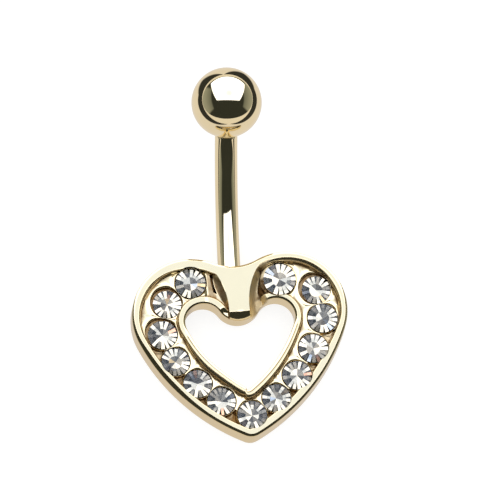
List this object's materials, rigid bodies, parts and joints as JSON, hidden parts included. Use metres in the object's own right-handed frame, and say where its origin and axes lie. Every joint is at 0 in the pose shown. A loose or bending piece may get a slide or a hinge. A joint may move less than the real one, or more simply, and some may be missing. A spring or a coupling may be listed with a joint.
{
  "type": "navel ring",
  "caption": "Curved barbell navel ring with a screw-on ball at one end and a fixed open heart, set with a row of round clear stones, at the other.",
  "frame": {"origin": "on the flat back of the heart, in the middle of the bridge that joins the outline's notch to the opening", "axes": "+Y from the heart's tip to its notch and on along the bar, +Z out of the heart's front, which faces up as it lies, +X to the right"},
  "size_m": [0.0154, 0.0262, 0.0076],
  "materials": {
    "gold_metal": "polished gold plating",
    "clear_stone": "cut and polished, foiled behind"
  },
  "bodies": {
    "ring": {"heart_bar": "gold_metal", "stone_01": "clear_stone", "stone_02": "clear_stone", "stone_03": "clear_stone", "stone_04": "clear_stone", "stone_05": "clear_stone", "stone_06": "clear_stone", "stone_07": "clear_stone", "stone_08": "clear_stone", "stone_09": "clear_stone", "stone_10": "clear_stone", "stone_11": "clear_stone", "stone_12": "clear_stone", "stone_13": "clear_stone"},
    "ball": {"ball": "gold_metal"}
  },
  "joints": [
    {"name": "ball_unscrew", "type": "slide", "parent": "ring", "child": "ball", "axis": [0.0438, 0.7713, 0.635], "range_m": [0, 0.003]}
  ]
}
